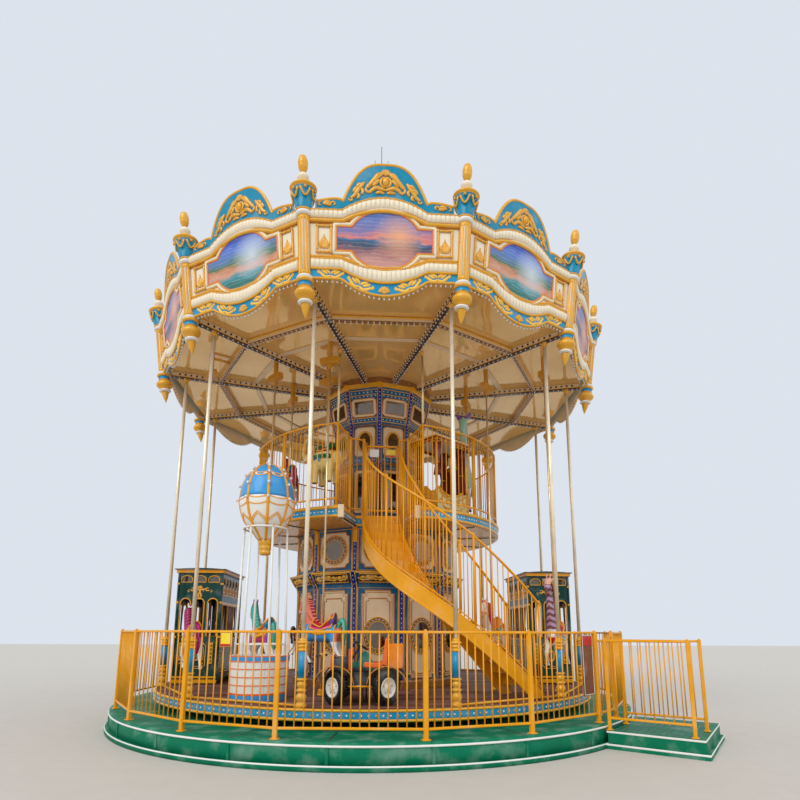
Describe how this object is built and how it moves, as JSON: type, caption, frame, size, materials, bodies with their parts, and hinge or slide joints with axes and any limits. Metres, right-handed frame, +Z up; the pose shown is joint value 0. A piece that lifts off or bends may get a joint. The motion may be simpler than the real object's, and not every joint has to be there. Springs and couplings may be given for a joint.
{
  "type": "carousel",
  "caption": "Double-deck fairground carousel: fenced base, curved stair to the upper deck, jumping horses, carriages and a balloon gondola under leaning rounding boards and a tented roof.",
  "frame": {"origin": "on the turning axis at ground level, in the middle of the plinth's underside", "axes": "+Z up along the turning axis, -Y towards the front, where the stair opening of the upper deck faces, and +X to the right as seen from the front"},
  "size_m": [10.6429, 10.2, 14.1],
  "materials": {
    "base_green": "satin",
    "yellow_paint": "gloss",
    "steel": "satin",
    "floor": "satin",
    "turquoise_paint": "gloss",
    "core_panels": "gloss",
    "gold_paint": "gloss",
    "blue_paint": "gloss",
    "brass": "polished",
    "cream_paint": "gloss",
    "ceiling_gloss": "gloss",
    "roof_cover": "satin",
    "dark_green_paint": "gloss",
    "orange_paint": "gloss",
    "white_gloss": "gloss",
    "red_fabric": "matte"
  },
  "bodies": {
    "base": {"base_plinth": "base_green", "entrance_step": "base_green", "centre_pedestal": "steel", "fence_run_01": "yellow_paint", "fence_run_02": "yellow_paint", "fence_run_03": "yellow_paint", "fence_run_04": "yellow_paint", "lane_barrier_near": "yellow_paint", "lane_barrier_far": "yellow_paint"},
    "entrance_gate": {"entrance_gate": "yellow_paint"},
    "carousel": {"platform_deck": "floor", "rim_quarter_01": "turquoise_paint", "rim_quarter_02": "turquoise_paint", "rim_quarter_03": "turquoise_paint", "rim_quarter_04": "turquoise_paint", "lower_core": "core_panels", "mirror_drum": "gold_paint", "upper_deck": "blue_paint", "upper_railing_right": "brass", "upper_railing_left": "brass", "upper_core": "core_panels", "core_head": "gold_paint", "stair_flight": "yellow_paint", "stair_side_inner": "yellow_paint", "stair_side_outer": "yellow_paint", "ceiling_frame": "gold_paint", "ceiling": "ceiling_gloss", "roof": "roof_cover", "canopy_bay_01": "cream_paint", "canopy_bay_02": "cream_paint", "canopy_bay_03": "cream_paint", "canopy_bay_04": "cream_paint", "canopy_bay_05": "cream_paint", "canopy_bay_06": "cream_paint", "canopy_bay_07": "cream_paint", "canopy_bay_08": "cream_paint", "canopy_bay_09": "cream_paint", "canopy_bay_10": "cream_paint", "canopy_bay_11": "cream_paint", "canopy_bay_12": "cream_paint", "old_time_car": "orange_paint", "balloon_gondola": "white_gloss", "tram_carriage_right": "dark_green_paint", "tram_carriage_left": "dark_green_paint", "giraffe": "white_gloss", "elephant": "white_gloss", "upper_horse": "white_gloss", "throne_carriage": "red_fabric", "deer": "white_gloss"},
    "landing_gate": {"landing_gate": "yellow_paint"},
    "horse_01": {"horse_01": "white_gloss"},
    "horse_02": {"horse_02": "white_gloss"},
    "horse_03": {"horse_03": "white_gloss"},
    "horse_04": {"horse_04": "white_gloss"},
    "horse_05": {"horse_05": "white_gloss"},
    "horse_06": {"horse_06": "white_gloss"}
  },
  "joints": [
    {"name": "carousel_spin", "type": "hinge", "parent": "base", "child": "carousel", "pos_m": [0, 0, 0.55], "axis": [0, 0, -1], "continuous": true},
    {"name": "entrance_gate_swing", "type": "hinge", "parent": "base", "child": "entrance_gate", "pos_m": [3.77607, -3.19333, 0.44], "axis": [0, 0, 1], "range_deg": [0, 90]},
    {"name": "landing_gate_swing", "type": "hinge", "parent": "carousel", "child": "landing_gate", "pos_m": [-0.262, -1.65, 3.96], "axis": [0, 0, 1], "range_deg": [0, 90]},
    {"name": "lift_01", "type": "slide", "parent": "carousel", "child": "horse_01", "axis": [0, 0, 1], "range_m": [-0.12, 0.12]},
    {"name": "lift_02", "type": "slide", "parent": "carousel", "child": "horse_02", "axis": [0, 0, 1], "range_m": [-0.12, 0.12]},
    {"name": "lift_03", "type": "slide", "parent": "carousel", "child": "horse_03", "axis": [0, 0, 1], "range_m": [-0.12, 0.12]},
    {"name": "lift_04", "type": "slide", "parent": "carousel", "child": "horse_04", "axis": [0, 0, 1], "range_m": [-0.12, 0.12]},
    {"name": "lift_05", "type": "slide", "parent": "carousel", "child": "horse_05", "axis": [0, 0, 1], "range_m": [-0.12, 0.12]},
    {"name": "lift_06", "type": "slide", "parent": "carousel", "child": "horse_06", "axis": [0, 0, 1], "range_m": [-0.12, 0.12]}
  ],
  "couplings": [
    {"joint": "lift_02", "follows": "lift_01", "ratio": -1},
    {"joint": "lift_03", "follows": "lift_01", "ratio": 1},
    {"joint": "lift_04", "follows": "lift_01", "ratio": -1},
    {"joint": "lift_05", "follows": "lift_01", "ratio": 1},
    {"joint": "lift_06", "follows": "lift_01", "ratio": -1}
  ]
}
